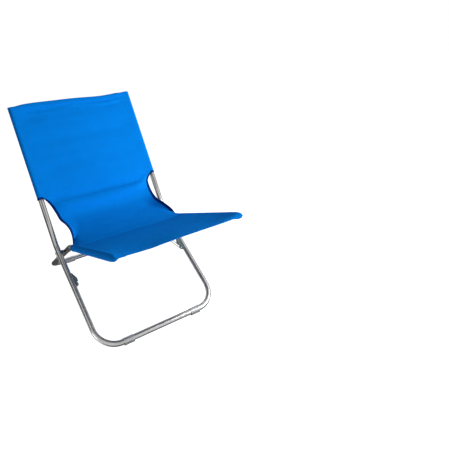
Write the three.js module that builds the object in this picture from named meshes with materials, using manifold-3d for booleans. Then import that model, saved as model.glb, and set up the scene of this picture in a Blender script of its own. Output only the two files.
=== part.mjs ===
// Low folding camp chair: two bent-tube frames that cross at a pivot on each side, a cloth sling
// stretched over both, and a wire link on each side that keeps the legs from spreading.
// Millimetres. X runs across the chair, -Y is its front and +Z is up. Left is -X.

import * as THREE from 'three';
import { mergeVertices } from 'three/addons/utils/BufferGeometryUtils.js';
import Module from 'manifold-3d';

const wasm = await Module();
wasm.setup();

// ---------------------------------------------------------------- driving dimensions

const gap = 0.3;                     // between pieces that touch
const degrees = Math.PI / 180;

// Tube of both frames
const tubeRadius = 11;
const tubeWall = 1.3;
const tubeFacets = 20;
const boreFacets = 12;

// Main frame: back posts, front legs and front ground bar
const mainHalfWidth = 250;           // to the tube's centreline
const mainGroundBendRadius = 82;
const frontLegLength = 415;          // pivot to ground bar
const frontLegLean = 55.3 * degrees; // from the vertical
const backBendAngle = 24.5 * degrees;
const backBendRadius = 45;
const backBendOffset = 32;           // pivot to the bend above it
const backPostLength = 562;          // bend to the open end

// Seat frame: seat rails, rear legs and rear ground bar
const seatGroundBendRadius = 70;
const rearLegLength = 408.4;
const seatBendAngle = 14.7 * degrees;
const seatBendRadius = 150;
const seatBendOffset = 77.7;
const seatRailLength = 431;
const foldAngle = 93 * degrees;      // turn of the seat frame from open to folded

// Pivots
const spacerLength = 8;              // from outer tube to inner tube
const spacerRadius = 8.5;
const rivetRadius = 3.2;
const rivetHoleRadius = 3.6;
const rivetHeadRadius = 7.5;
const rivetHeadHeight = 3.6;
const washerRadius = 8.5;
const washerThickness = 1.6;

// Plugs in the open tube ends: low caps on the back posts, long noses on the seat rails
const plugClearance = 0.4;
const plugDepth = 16;
const capHeight = 5;
const noseHeight = 38;
const noseTipRadius = 4.5;

// Feet: moulded sleeves on the ground bars
const footLength = 42;
const footWall = 1.5;
const footSoleHalfWidth = 11;
const footOffsetFromBend = 2;        // from the end of the ground bend to the foot

// Cross rod under the seat
const rodRadius = 3;
const rodHoleRadius = 3.5;
const rodAlongRail = 241;            // from the seat bend
const rodDrop = 52;
const rodStub = 12;                  // straight stretch out of the rail
const rodFlatHalfWidth = 70;         // to the corners that round into the bow
const rodBowRadius = 330;
const rodEndBendRadius = 14;

// Wire links: closed loops in the gap between the frames. Each hangs on a rivet in the rear leg
// and slides over the headed pin of a catch on the front leg.
const wireRadius = 2;
const wireFacets = 10;
const linkArm = 147;                 // pivot to the rivet, and pivot to the pin
const linkPinRadius = 3.7;           // rivet and pin, inside the loop
const linkPinHoleRadius = 4.1;
const linkHeadRadius = 6.5;
const linkHeadHeight = 2.2;
const catchLength = 47;              // up the leg from the pin
const catchTail = 8;                 // down the leg from the pin
const catchReach = 12;               // out of the tube, towards the middle of the chair
const catchHalfWidth = 8;
const catchNoseLength = 22;          // full-height stretch before the taper

// Cloth sling
const clothThickness = 2;
const sleeveClearance = 0.35;
const backSleeveStart = 192;         // along the post, from the bend
const capShow = 1;                   // top of the cap that stands out of the sleeve
const seatSleeveStart = 54;          // along the rail, from the bend
const noseShow = 8;                  // tip of the nose that stands out of the sleeve
const seatClothRise = 8.5;           // cloth above the rails' centrelines
const lapSideClearance = 4;          // between the lap and the seat tubes
const lapReach = 50;                 // pull of each panel's direction on the lap's curve
const lapSteps = 12;
const sleeveRodHoleRadius = 5.5;

// ---------------------------------------------------------------- materials

const steel = new THREE.MeshStandardMaterial({ color: 0xb9bcbc, roughness: 0.32, metalness: 0.85 });
const zinc = new THREE.MeshStandardMaterial({ color: 0x8b8f92, roughness: 0.4, metalness: 0.9 });
const greyPlastic = new THREE.MeshStandardMaterial({ color: 0x6f7478, roughness: 0.55, metalness: 0 });
const darkPlastic = new THREE.MeshStandardMaterial({ color: 0x3c4347, roughness: 0.5, metalness: 0 });
const blueCloth = new THREE.MeshStandardMaterial({ color: 0x0078dc, roughness: 0.85, metalness: 0 });

// ---------------------------------------------------------------- side view of the two frames

// Directions and points in the side view are (y, z) pairs.
const fromVertical = (angle) => new THREE.Vector2(Math.sin(angle), Math.cos(angle));
const along = (start, direction, distance) => start.clone().addScaledVector(direction, distance);

const groundAxisZ = tubeRadius + gap + footWall;
const pivotHeight = groundAxisZ + frontLegLength * Math.cos(frontLegLean);
const pivot = new THREE.Vector2(0, pivotHeight);

const frontLeg = fromVertical(frontLegLean).negate();
const backPost = fromVertical(frontLegLean - backBendAngle);
const frontGround = along(pivot, frontLeg, frontLegLength);
const backBend = along(pivot, frontLeg, -backBendOffset);
const backTop = along(backBend, backPost, backPostLength);

const rearLegLean = Math.acos((pivotHeight - groundAxisZ) / rearLegLength);
const railRise = Math.PI / 2 - rearLegLean - seatBendAngle;
const rearLeg = new THREE.Vector2(Math.sin(rearLegLean), -Math.cos(rearLegLean));
const seatRail = new THREE.Vector2(-Math.cos(railRise), Math.sin(railRise));
const rearGround = along(pivot, rearLeg, rearLegLength);
const seatBend = along(pivot, rearLeg, -seatBendOffset);
const seatFront = along(seatBend, seatRail, seatRailLength);
const linkHinge = along(pivot, rearLeg, linkArm);
const catchPin = along(pivot, frontLeg, linkArm);

const seatHalfWidth = mainHalfWidth - 2 * tubeRadius - spacerLength;
const mainInnerFace = mainHalfWidth - tubeRadius;
const seatInnerFace = seatHalfWidth - tubeRadius;
const seatOuterFace = seatHalfWidth + tubeRadius;
const boreRadius = tubeRadius - tubeWall;

const at = (x, sidePoint) => new THREE.Vector3(x, sidePoint.x, sidePoint.y);

// ---------------------------------------------------------------- shared operations

// A centreline of straight stretches and arcs, with a station only where the direction changes.
class BentPath extends THREE.Curve {
  constructor(corners) {
    super();
    this.stations = [];
    corners.forEach((corner, index) => this.addCorner(corners, corner, index));
  }

  addCorner(corners, { point, radius, steps }, index) {
    const before = corners[index - 1];
    const after = corners[index + 1];
    const inward = before && point.clone().sub(before.point).normalize();
    const outward = after && after.point.clone().sub(point).normalize();
    if (!before || !after) {
      this.stations.push({ point, tangent: inward || outward });
      return;
    }
    const turn = inward.angleTo(outward);
    const start = point.clone().addScaledVector(inward, -radius * Math.tan(turn / 2));
    const toCentre = outward.clone().addScaledVector(inward, -Math.cos(turn)).normalize();
    for (let step = 0; step <= steps; step += 1) {
      const angle = (turn * step) / steps;
      const place = start.clone()
        .addScaledVector(inward, radius * Math.sin(angle))
        .addScaledVector(toCentre, radius * (1 - Math.cos(angle)));
      const tangent = inward.clone().multiplyScalar(Math.cos(angle))
        .addScaledVector(toCentre, Math.sin(angle));
      this.stations.push({ point: place, tangent });
    }
  }

  station(u) {
    return this.stations[Math.round(u * (this.stations.length - 1))];
  }

  getTangentAt(u, target = new THREE.Vector3()) {
    return target.copy(this.station(u).tangent);
  }

  getSpacedPoints() {
    return this.stations.map(({ point }) => point.clone());
  }
}

function circle(radius, facets) {
  const shape = new THREE.Shape();
  for (let facet = 0; facet < facets; facet += 1) {
    const angle = (2 * Math.PI * facet) / facets;
    const [x, y] = [radius * Math.cos(angle), radius * Math.sin(angle)];
    if (facet === 0) shape.moveTo(x, y);
    else shape.lineTo(x, y);
  }
  return shape;
}

function sweep(shape, corners) {
  const extrudePath = new BentPath(corners);
  return new THREE.ExtrudeGeometry(shape, { extrudePath, steps: extrudePath.stations.length - 1 });
}

function toSolid(geometry) {
  const bare = geometry.clone();
  bare.deleteAttribute('normal');
  bare.deleteAttribute('uv');
  const { attributes, index } = mergeVertices(bare, 1e-4);
  return new wasm.Manifold(new wasm.Mesh({
    numProp: 3,
    vertProperties: new Float32Array(attributes.position.array),
    triVerts: new Uint32Array(index.array),
  }));
}

function toGeometry(solid) {
  const { vertProperties, triVerts } = solid.getMesh();
  const geometry = new THREE.BufferGeometry();
  geometry.setAttribute('position', new THREE.BufferAttribute(vertProperties, 3));
  geometry.setIndex(new THREE.BufferAttribute(triVerts, 1));
  geometry.computeVertexNormals();
  return geometry;
}

// Cuts the listed cutters out of a geometry.
function cut(geometry, cutters) {
  const solid = cutters.reduce((body, cutter) => body.subtract(toSolid(cutter)), toSolid(geometry));
  return toGeometry(solid);
}

// A round cutter across the chair, from x = fromX to x = toX, at a point of the side view.
function crossCutter(radius, fromX, toX, sidePoint) {
  return new THREE.CylinderGeometry(radius, radius, Math.abs(toX - fromX), boreFacets)
    .rotateZ(Math.PI / 2)
    .translate((fromX + toX) / 2, sidePoint.x, sidePoint.y);
}

// Axes of a piece that lies along a side-view direction: its Z runs along it and its X stays X.
function frameAlong(direction) {
  const zAxis = new THREE.Vector3(0, direction.x, direction.y);
  const xAxis = new THREE.Vector3(1, 0, 0);
  return new THREE.Matrix4().makeBasis(xAxis, zAxis.clone().cross(xAxis), zAxis);
}

// Axes of a piece that is extruded across the chair: its section lies in the side view.
const acrossTheChair = new THREE.Matrix4().makeBasis(
  new THREE.Vector3(0, 1, 0), new THREE.Vector3(0, 0, 1), new THREE.Vector3(1, 0, 0));

function mesh(name, geometry, material) {
  const piece = new THREE.Mesh(geometry, material);
  piece.name = name;
  return piece;
}

const sides = [{ word: 'left', sign: -1 }, { word: 'right', sign: 1 }];
const chair = new THREE.Group();

// ---------------------------------------------------------------- bent tube frames

const frameTubeShape = circle(tubeRadius, tubeFacets);
frameTubeShape.holes.push(circle(boreRadius, boreFacets));

// A tube that runs down one side, across the ground and up the other side.
function bentFrame(halfWidth, end, bend, bendRadius, ground, groundRadius) {
  const sideBend = { radius: bendRadius, steps: 4 };
  const groundBend = { radius: groundRadius, steps: 10 };
  return sweep(frameTubeShape, [
    { point: at(-halfWidth, end) },
    { point: at(-halfWidth, bend), ...sideBend },
    { point: at(-halfWidth, ground), ...groundBend },
    { point: at(halfWidth, ground), ...groundBend },
    { point: at(halfWidth, bend), ...sideBend },
    { point: at(halfWidth, end) },
  ]);
}

const rodSeat = along(seatBend, seatRail, rodAlongRail);

function buildFrames() {
  const pastTube = tubeRadius + 1;
  const mainCutters = sides.map(({ sign }) => crossCutter(
    rivetHoleRadius, sign * (mainHalfWidth - pastTube), sign * (mainHalfWidth + pastTube), pivot));
  const seatCutters = sides.flatMap(({ sign }) => {
    const outside = sign * (seatHalfWidth + pastTube);
    const inside = sign * (seatHalfWidth - pastTube);
    return [
      crossCutter(rivetHoleRadius, inside, outside, pivot),
      crossCutter(linkPinHoleRadius, inside, outside, linkHinge),
      crossCutter(rodHoleRadius, inside, sign * seatHalfWidth, rodSeat),
    ];
  });
  const mainTube = bentFrame(
    mainHalfWidth, backTop, backBend, backBendRadius, frontGround, mainGroundBendRadius);
  const seatTube = bentFrame(
    seatHalfWidth, seatFront, seatBend, seatBendRadius, rearGround, seatGroundBendRadius);
  chair.add(mesh('main_frame_tube', cut(mainTube, mainCutters), steel));
  chair.add(mesh('seat_frame_tube', cut(seatTube, seatCutters), steel));
}

// ---------------------------------------------------------------- plugs in the open tube ends

// The part of every plug that stands in the tube, from its axis out to its rim.
const plugStem = boreRadius - plugClearance;
const plugInTube = [
  [0, -plugDepth], [plugStem - 1.2, -plugDepth], [plugStem, 2 - plugDepth], [plugStem, gap], [tubeRadius, gap],
];
const capOutline = [
  [tubeRadius, capHeight * 0.45], [tubeRadius * 0.86, capHeight * 0.8], [tubeRadius * 0.5, capHeight * 0.97],
  [0, capHeight],
];

// The nose is a quarter of an ellipse that ends in a small flat tip.
const noseSteps = 6;
const noseOutline = Array.from({ length: noseSteps }, (_, index) => {
  const angle = ((index + 1) * Math.PI) / (2 * noseSteps);
  return [
    noseTipRadius + (tubeRadius - noseTipRadius) * Math.cos(angle),
    gap + (noseHeight - gap) * Math.sin(angle),
  ];
}).concat([[0, noseHeight]]);

function buildPlugs(name, halfWidth, end, direction, outline) {
  const profile = [...plugInTube, ...outline].map(([radius, height]) => new THREE.Vector2(radius, height));
  for (const { word, sign } of sides) {
    const geometry = new THREE.LatheGeometry(profile, tubeFacets).rotateX(Math.PI / 2);
    const plug = mesh(`${name}_${word}`, geometry, greyPlastic);
    plug.setRotationFromMatrix(frameAlong(direction));
    plug.position.copy(at(sign * halfWidth, end));
    chair.add(plug);
  }
}

// ---------------------------------------------------------------- feet

// A ring round the bar that widens into a flat sole.
function footGeometry() {
  const outer = tubeRadius + gap + footWall;
  const shoulder = Math.acos(footSoleHalfWidth / outer);
  const shape = new THREE.Shape();
  shape.moveTo(-footSoleHalfWidth, -outer);
  shape.lineTo(footSoleHalfWidth, -outer);
  shape.absarc(0, 0, outer, -shoulder, Math.PI + shoulder, false);
  shape.holes.push(circle(tubeRadius + gap, tubeFacets));
  return new THREE.ExtrudeGeometry(shape, { depth: footLength, bevelEnabled: false, curveSegments: 9 })
    .translate(0, 0, -footLength / 2);
}

function buildFeet(name, halfWidth, ground, groundRadius) {
  const footCentre = halfWidth - groundRadius - footOffsetFromBend - footLength / 2;
  for (const { word, sign } of sides) {
    const foot = mesh(`${name}_${word}`, footGeometry(), greyPlastic);
    foot.setRotationFromMatrix(acrossTheChair);
    foot.position.copy(at(sign * footCentre, ground));
    chair.add(foot);
  }
}

// ---------------------------------------------------------------- pivots

// Turned pieces are drawn with their axis along the chair's width, measured from the middle.
function turned(points, facets) {
  const profile = points.map(([x, radius]) => new THREE.Vector2(radius, x));
  return new THREE.LatheGeometry(profile, facets).rotateZ(-Math.PI / 2);
}

// One rivet goes through both tubes, with the spacer between them and a washer inside.
function buildPivots() {
  const outerHead = mainHalfWidth + tubeRadius + gap;
  const washerInner = seatInnerFace - gap - washerThickness;
  const innerHead = washerInner - gap;
  const domeShoulder = rivetHeadRadius * 0.8;
  const rivetPoints = [
    [innerHead - rivetHeadHeight, 0], [innerHead - rivetHeadHeight * 0.75, domeShoulder],
    [innerHead - rivetHeadHeight * 0.3, rivetHeadRadius], [innerHead, rivetHeadRadius],
    [innerHead, rivetRadius], [outerHead, rivetRadius], [outerHead, rivetHeadRadius],
    [outerHead + rivetHeadHeight * 0.3, rivetHeadRadius],
    [outerHead + rivetHeadHeight * 0.75, domeShoulder], [outerHead + rivetHeadHeight, 0],
  ];
  const ring = (fromX, toX, radius) => [
    [fromX, rivetHoleRadius], [fromX, radius], [toX, radius], [toX, rivetHoleRadius], [fromX, rivetHoleRadius],
  ];
  const spacerPoints = ring(seatOuterFace + gap, mainInnerFace - gap, spacerRadius);
  const washerPoints = ring(washerInner, seatInnerFace - gap, washerRadius);
  const turnedPieces = [
    { name: 'pivot_rivet', points: rivetPoints, material: zinc },
    { name: 'pivot_spacer', points: spacerPoints, material: darkPlastic },
    { name: 'pivot_washer', points: washerPoints, material: zinc },
  ];
  for (const { word, sign } of sides) {
    for (const { name, points, material } of turnedPieces) {
      const piece = mesh(`${name}_${word}`, turned(points, tubeFacets), material);
      piece.rotation.y = sign < 0 ? Math.PI : 0;
      piece.position.copy(at(0, pivot));
      chair.add(piece);
    }
  }
}

// ---------------------------------------------------------------- cross rod under the seat

// The rod enters both rails square, turns down and bows below the seat.
function buildCrossRod() {
  const below = new THREE.Vector2(-seatRail.y, seatRail.x);
  const low = along(rodSeat, below, rodDrop);
  const endX = seatHalfWidth - 0.5 * tubeRadius;
  const turnX = seatInnerFace - rodStub;
  const endBend = { radius: rodEndBendRadius, steps: 3 };
  const bow = { radius: rodBowRadius, steps: 7 };
  chair.add(mesh('seat_cross_rod', sweep(circle(rodRadius, wireFacets), [
    { point: at(-endX, rodSeat) },
    { point: at(-turnX, rodSeat), ...endBend },
    { point: at(-rodFlatHalfWidth, low), ...bow },
    { point: at(rodFlatHalfWidth, low), ...bow },
    { point: at(turnX, rodSeat), ...endBend },
    { point: at(endX, rodSeat) },
  ]), steel));
}

// ---------------------------------------------------------------- wire links and their catches

const linkX = seatOuterFace + gap + wireRadius;
const linkLoopRadius = linkPinRadius + gap + wireRadius;
const besideWire = wireRadius + gap;
const linkOpen = catchPin.clone().sub(linkHinge).normalize();
// Rivet and pin stand equally far from the pivot, so the link turns by half of the fold.
const linkFolded = linkOpen.clone().rotateAround(new THREE.Vector2(), -foldAngle / 2);

// A long flat loop of wire whose ends butt in the middle of its lower run.
function buildLinks() {
  const across = new THREE.Vector2(linkOpen.y, -linkOpen.x).multiplyScalar(linkLoopRadius);
  const middle = linkHinge.clone().lerp(catchPin, 0.5);
  const corner = (pin, past, side) => along(pin.clone().addScaledVector(across, side), linkOpen, past);
  const bend = { radius: 0.9 * linkLoopRadius, steps: 4 };
  for (const { word, sign } of sides) {
    chair.add(mesh(`link_wire_${word}`, sweep(circle(wireRadius, wireFacets), [
      { point: at(sign * linkX, corner(middle, gap / 2, 1)) },
      { point: at(sign * linkX, corner(catchPin, linkLoopRadius, 1)), ...bend },
      { point: at(sign * linkX, corner(catchPin, linkLoopRadius, -1)), ...bend },
      { point: at(sign * linkX, corner(linkHinge, -linkLoopRadius, -1)), ...bend },
      { point: at(sign * linkX, corner(linkHinge, -linkLoopRadius, 1)), ...bend },
      { point: at(sign * linkX, corner(middle, -gap / 2, 1)) },
    ]), zinc));
  }
}

// The rivet goes through the rear leg and holds the loop against the leg's outer side.
function buildLinkRivets() {
  const outerHead = linkX + besideWire;
  const innerHead = seatInnerFace - gap;
  const points = [
    [innerHead - linkHeadHeight, 0], [innerHead - linkHeadHeight, linkHeadRadius * 0.7],
    [innerHead - linkHeadHeight * 0.4, linkHeadRadius], [innerHead, linkHeadRadius],
    [innerHead, linkPinRadius], [outerHead, linkPinRadius], [outerHead, linkHeadRadius],
    [outerHead + linkHeadHeight * 0.4, linkHeadRadius],
    [outerHead + linkHeadHeight, linkHeadRadius * 0.7], [outerHead + linkHeadHeight, 0],
  ];
  for (const { word, sign } of sides) {
    const rivet = mesh(`link_rivet_${word}`, turned(points, tubeFacets), zinc);
    rivet.rotation.y = sign < 0 ? Math.PI : 0;
    rivet.position.copy(at(0, linkHinge));
    chair.add(rivet);
  }
}

// Room for the loop in the catch: everything below the loop's upper side, out to the catch's base.
function wireRoom(sign, direction) {
  const reach = 2 * catchLength;
  const height = linkLoopRadius + besideWire;
  return new THREE.BoxGeometry(linkX + besideWire, reach + height, 2 * reach)
    .translate((sign * (linkX + besideWire)) / 2, (height - reach) / 2, 0)
    .applyMatrix4(frameAlong(direction))
    .translate(0, catchPin.x, catchPin.y);
}

// A wedge on the inner side of the front leg, hollowed to sit on the tube. Its lower end is a thin
// base behind the loop, which carries the headed pin.
function catchGeometry(sign) {
  const innerX = sign * (mainInnerFace - catchReach);
  const wedge = new THREE.Shape([
    new THREE.Vector2(sign * mainHalfWidth, -catchTail),
    new THREE.Vector2(innerX, -catchTail),
    new THREE.Vector2(innerX, catchNoseLength),
    new THREE.Vector2(sign * (mainInnerFace - 1), catchLength),
    new THREE.Vector2(sign * mainHalfWidth, catchLength),
  ]);
  const legFrame = frameAlong(frontLeg.clone().negate());
  const body = new THREE.ExtrudeGeometry(wedge, { depth: 2 * catchHalfWidth, bevelEnabled: false })
    .translate(0, 0, -catchHalfWidth)
    .rotateX(Math.PI / 2)
    .applyMatrix4(legFrame)
    .translate(0, catchPin.x, catchPin.y);
  const leg = new THREE.CylinderGeometry(tubeRadius + gap, tubeRadius + gap, 4 * catchLength, tubeFacets)
    .rotateX(Math.PI / 2)
    .applyMatrix4(legFrame)
    .translate(sign * mainHalfWidth, catchPin.x, catchPin.y);
  const headOuter = linkX - besideWire;
  const pin = turned([
    [headOuter - linkHeadHeight, 0], [headOuter - linkHeadHeight, linkHeadRadius * 0.7],
    [headOuter - linkHeadHeight * 0.4, linkHeadRadius], [headOuter, linkHeadRadius],
    [headOuter, linkPinRadius], [mainInnerFace - 1, linkPinRadius], [mainInnerFace - 1, 0],
  ], tubeFacets);
  if (sign < 0) pin.rotateY(Math.PI);
  pin.translate(0, catchPin.x, catchPin.y);
  return toGeometry(toSolid(body)
    .subtract(toSolid(leg))
    .subtract(toSolid(wireRoom(sign, linkOpen)))
    .subtract(toSolid(wireRoom(sign, linkFolded)))
    .add(toSolid(pin)));
}

function buildCatches() {
  for (const { word, sign } of sides) {
    chair.add(mesh(`link_catch_${word}`, catchGeometry(sign), darkPlastic));
  }
}

// ---------------------------------------------------------------- cloth sling

const sleeveInner = tubeRadius + sleeveClearance;
const sleeveOuter = sleeveInner + clothThickness;
const backSleeveEnd = backPostLength + capHeight - capShow;
const seatSleeveEnd = seatRailLength + noseHeight - noseShow;

// Two sleeves joined by a flat panel that lies a given height above their centres.
function slingSection(halfWidth, panelHeight) {
  const upper = Math.asin((panelHeight + clothThickness / 2) / sleeveOuter);
  const lower = Math.asin((panelHeight - clothThickness / 2) / sleeveOuter);
  const shape = new THREE.Shape();
  shape.absarc(halfWidth, 0, sleeveOuter, Math.PI - upper, -Math.PI - lower, true);
  shape.absarc(-halfWidth, 0, sleeveOuter, lower, upper - 2 * Math.PI, true);
  for (const { sign } of sides) {
    const bore = circle(sleeveInner, tubeFacets).getPoints();
    shape.holes.push(new THREE.Path(bore.map((point) => point.add(new THREE.Vector2(sign * halfWidth, 0)))));
  }
  return shape;
}

// A panel stretched between two parallel tubes, from one place along them to another.
function slingPanel(halfWidth, panelHeight, bend, direction, start, end) {
  const section = slingSection(halfWidth, panelHeight);
  const origin = along(bend, direction, start);
  return new THREE.ExtrudeGeometry(section, { depth: end - start, bevelEnabled: false, curveSegments: 9 })
    .applyMatrix4(frameAlong(direction))
    .translate(0, origin.x, origin.y);
}

// The lap leaves the back panel and the seat panel in their own directions and curves between.
function lapGeometry() {
  const seatNormal = new THREE.Vector2(seatRail.y, -seatRail.x);
  const top = along(backBend, backPost, backSleeveStart - gap);
  const front = along(along(seatBend, seatRail, seatSleeveStart - gap), seatNormal, seatClothRise);
  const curve = new THREE.CubicBezierCurve(
    top, along(top, backPost, -lapReach), along(front, seatRail, -lapReach), front);
  const stations = Array.from({ length: lapSteps + 1 }, (_, index) => index / lapSteps);
  const edge = (side) => stations.map((t) => {
    const tangent = curve.getTangent(t);
    const normal = new THREE.Vector2(-tangent.y, tangent.x);
    return along(curve.getPoint(t), normal, (side * clothThickness) / 2);
  });
  const outline = new THREE.Shape([...edge(-1), ...edge(1).reverse()]);
  const halfWidth = seatInnerFace - lapSideClearance;
  return new THREE.ExtrudeGeometry(outline, { depth: 2 * halfWidth, bevelEnabled: false })
    .translate(0, 0, -halfWidth)
    .applyMatrix4(acrossTheChair);
}

function buildSling() {
  const back = slingPanel(mainHalfWidth, 0, backBend, backPost, backSleeveStart, backSleeveEnd);
  const seat = slingPanel(seatHalfWidth, seatClothRise, seatBend, seatRail, seatSleeveStart, seatSleeveEnd);
  const rodHoles = sides.map(({ sign }) => crossCutter(
    sleeveRodHoleRadius, sign * (seatInnerFace - 2 * clothThickness), sign * seatHalfWidth, rodSeat));
  chair.add(mesh('sling_back', back, blueCloth));
  chair.add(mesh('sling_seat', cut(seat, rodHoles), blueCloth));
  chair.add(mesh('sling_lap', lapGeometry(), blueCloth));
}

// ---------------------------------------------------------------- assembly

buildFrames();
buildPlugs('back_cap', mainHalfWidth, backTop, backPost, capOutline);
buildPlugs('rail_cap', seatHalfWidth, seatFront, seatRail, noseOutline);
buildFeet('front_foot', mainHalfWidth, frontGround, mainGroundBendRadius);
buildFeet('rear_foot', seatHalfWidth, rearGround, seatGroundBendRadius);
buildPivots();
buildCrossRod();
buildLinks();
buildLinkRivets();
buildCatches();
buildSling();

// The origin is at the bottom centre of the chair's box.
const box = new THREE.Box3().setFromObject(chair);
chair.position.y = -(box.min.y + box.max.y) / 2;

export default chair;
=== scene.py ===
import math

import bmesh
import bpy
from mathutils import Matrix, Vector, noise


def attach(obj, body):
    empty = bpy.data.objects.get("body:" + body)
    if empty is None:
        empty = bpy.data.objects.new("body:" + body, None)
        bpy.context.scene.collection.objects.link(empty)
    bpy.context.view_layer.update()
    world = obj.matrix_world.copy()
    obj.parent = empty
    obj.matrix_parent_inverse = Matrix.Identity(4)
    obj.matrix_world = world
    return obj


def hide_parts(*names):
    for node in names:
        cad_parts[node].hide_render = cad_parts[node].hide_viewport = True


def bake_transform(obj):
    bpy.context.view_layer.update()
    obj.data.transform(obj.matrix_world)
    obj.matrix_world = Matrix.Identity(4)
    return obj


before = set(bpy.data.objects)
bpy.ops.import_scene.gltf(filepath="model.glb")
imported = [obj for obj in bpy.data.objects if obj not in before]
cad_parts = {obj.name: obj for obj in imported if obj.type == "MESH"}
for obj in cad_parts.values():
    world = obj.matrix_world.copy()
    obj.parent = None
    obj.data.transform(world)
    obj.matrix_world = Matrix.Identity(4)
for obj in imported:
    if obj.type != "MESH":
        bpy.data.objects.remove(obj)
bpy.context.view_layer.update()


# ---------------------------------------------------------------- the studio
# A plain pale floor under a white background, a large soft lamp in front of the chair on the right and
# a weak one low on its left. The world fills in from all round. Grey cards, which only reflections see,
# keep the bright tubes from mirroring nothing but white, and some are painted shade and shadow mirrored
# from under the seat and the ground bars.

camera = bpy.data.objects.new("camera", bpy.data.cameras.new("camera"))
camera.data.sensor_width = 36
camera.data.lens = 31.3
camera.data.shift_x = 0.141
camera.data.shift_y = 0.0225
camera.data.clip_start, camera.data.clip_end = 0.05, 50
camera_place = (-0.552, -1.2675, 0.9938)
heading, tilt, lean = math.radians(-29.48), math.radians(90 - 27.64), math.radians(-3.6)
camera.matrix_world = (Matrix.Translation(camera_place) @ Matrix.Rotation(heading, 4, "Z")
                       @ Matrix.Rotation(tilt, 4, "X") @ Matrix.Rotation(lean, 4, "Z"))
bpy.context.scene.collection.objects.link(camera)
bpy.context.scene.camera = camera
bpy.context.scene.view_settings.view_transform = "Standard"


def link_nodes(tree, *pairs):
    """Joins node sockets two by two, each given as (node, socket)."""
    for (giver, output), (taker, socket) in pairs:
        tree.links.new(giver.outputs[output], taker.inputs[socket])


def seen_or_mirrored(tree):
    """A value that is 1 where the camera, a reflection or a clear material looks, and 0 for plain light."""
    path = tree.nodes.new("ShaderNodeLightPath")
    value = (path, "Is Camera Ray")
    for ray in ("Is Glossy Ray", "Is Transmission Ray"):
        larger = tree.nodes.new("ShaderNodeMath")
        larger.operation = "MAXIMUM"
        link_nodes(tree, (value, (larger, 0)), ((path, ray), (larger, 1)))
        value = (larger, 0)
    return value


light_of_world, white = 0.23, 1.0
world = bpy.data.worlds.new("studio")
bpy.context.scene.world = world
world.use_nodes = True
background = world.node_tree.nodes["Background"]
background.inputs["Color"].default_value = (1, 1, 1, 1)
world_strength = world.node_tree.nodes.new("ShaderNodeMapRange")
world_strength.inputs["To Min"].default_value = light_of_world
world_strength.inputs["To Max"].default_value = white
link_nodes(world.node_tree, (seen_or_mirrored(world.node_tree), (world_strength, "Value")),
           ((world_strength, "Result"), (background, "Strength")))


def softbox(name, place, aim, size, power):
    """A square lamp, turned to a point. Its size is in metres and its power in watts."""
    lamp = bpy.data.objects.new(name, bpy.data.lights.new(name, "AREA"))
    lamp.data.size = size
    lamp.data.energy = power
    lamp.location = place
    lamp.rotation_euler = (Vector(aim) - Vector(place)).to_track_quat("-Z", "Y").to_euler()
    bpy.context.scene.collection.objects.link(lamp)


softbox("key_lamp", place=(1.3, -1.2, 1.0), aim=(0, 0.1, 0.5), size=0.8, power=41)
softbox("fill_lamp", place=(-1.5, -0.5, 0.2), aim=(-0.25, -0.2, 0.35), size=0.7, power=4)


def shade_card(name, place, aim, size, shade):
    """A grey card that only shows in reflections: some hang beside bright metal as a studio does, and some
    are painted shade and shadow for the tubes to mirror.
    """
    card_paper = bpy.data.materials.new(name)
    card_paper.use_nodes = True
    surface = card_paper.node_tree.nodes["Principled BSDF"]
    surface.inputs["Base Color"].default_value = (shade, shade, shade, 1)
    surface.inputs["Specular IOR Level"].default_value = 0.0
    shape = bmesh.new()
    bmesh.ops.create_grid(shape, x_segments=1, y_segments=1, size=0.5)
    turn = (Vector(aim) - Vector(place)).to_track_quat("-Z", "Y").to_matrix().to_4x4()
    bmesh.ops.transform(shape, verts=shape.verts, matrix=Matrix.Translation(place) @ turn
                        @ Matrix.Diagonal((*size, 1, 1)))
    mesh = bpy.data.meshes.new(name)
    shape.to_mesh(mesh)
    shape.free()
    mesh.materials.append(card_paper)
    card = bpy.data.objects.new(name, mesh)
    bpy.context.scene.collection.objects.link(card)
    card.visible_camera = card.visible_diffuse = card.visible_shadow = card.visible_transmission = False


# Under the seat the tubes mirror a grey card in place of the cloth's underside: painted shade.
shade_card("under_seat", place=(0, -0.20, 0.30), aim=(0, -0.20, 0), size=(0.40, 0.36), shade=0.4)
shade_card("left_side", place=(-1.5, 0.3, 0.5), aim=(0, 0, 0.4), size=(1.6, 1.4), shade=0.18)
shade_card("right_side", place=(0.9, 0.9, 0.4), aim=(0, 0, 0.2), size=(0.8, 1.0), shade=0.18)
shade_card("overhead", place=(-0.5, -0.4, 2.2), aim=(-0.2, -0.2, 0), size=(1.4, 1.4), shade=0.45)
shade_card("right_floor", place=(0.58, -0.05, 0.004), aim=(0.58, -0.05, 1), size=(0.62, 0.7), shade=0.2)
# On the floor under the rear and front ground bars, the tubes mirror grey cards: painted shadow.
shade_card("back_floor", place=(0.05, 0.42, 0.004), aim=(0.05, 0.42, 1), size=(0.7, 0.42), shade=0.7)
shade_card("bar_floor", place=(0, -0.28, 0.002), aim=(0, -0.28, 1), size=(0.6, 0.05), shade=0.4)

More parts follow.
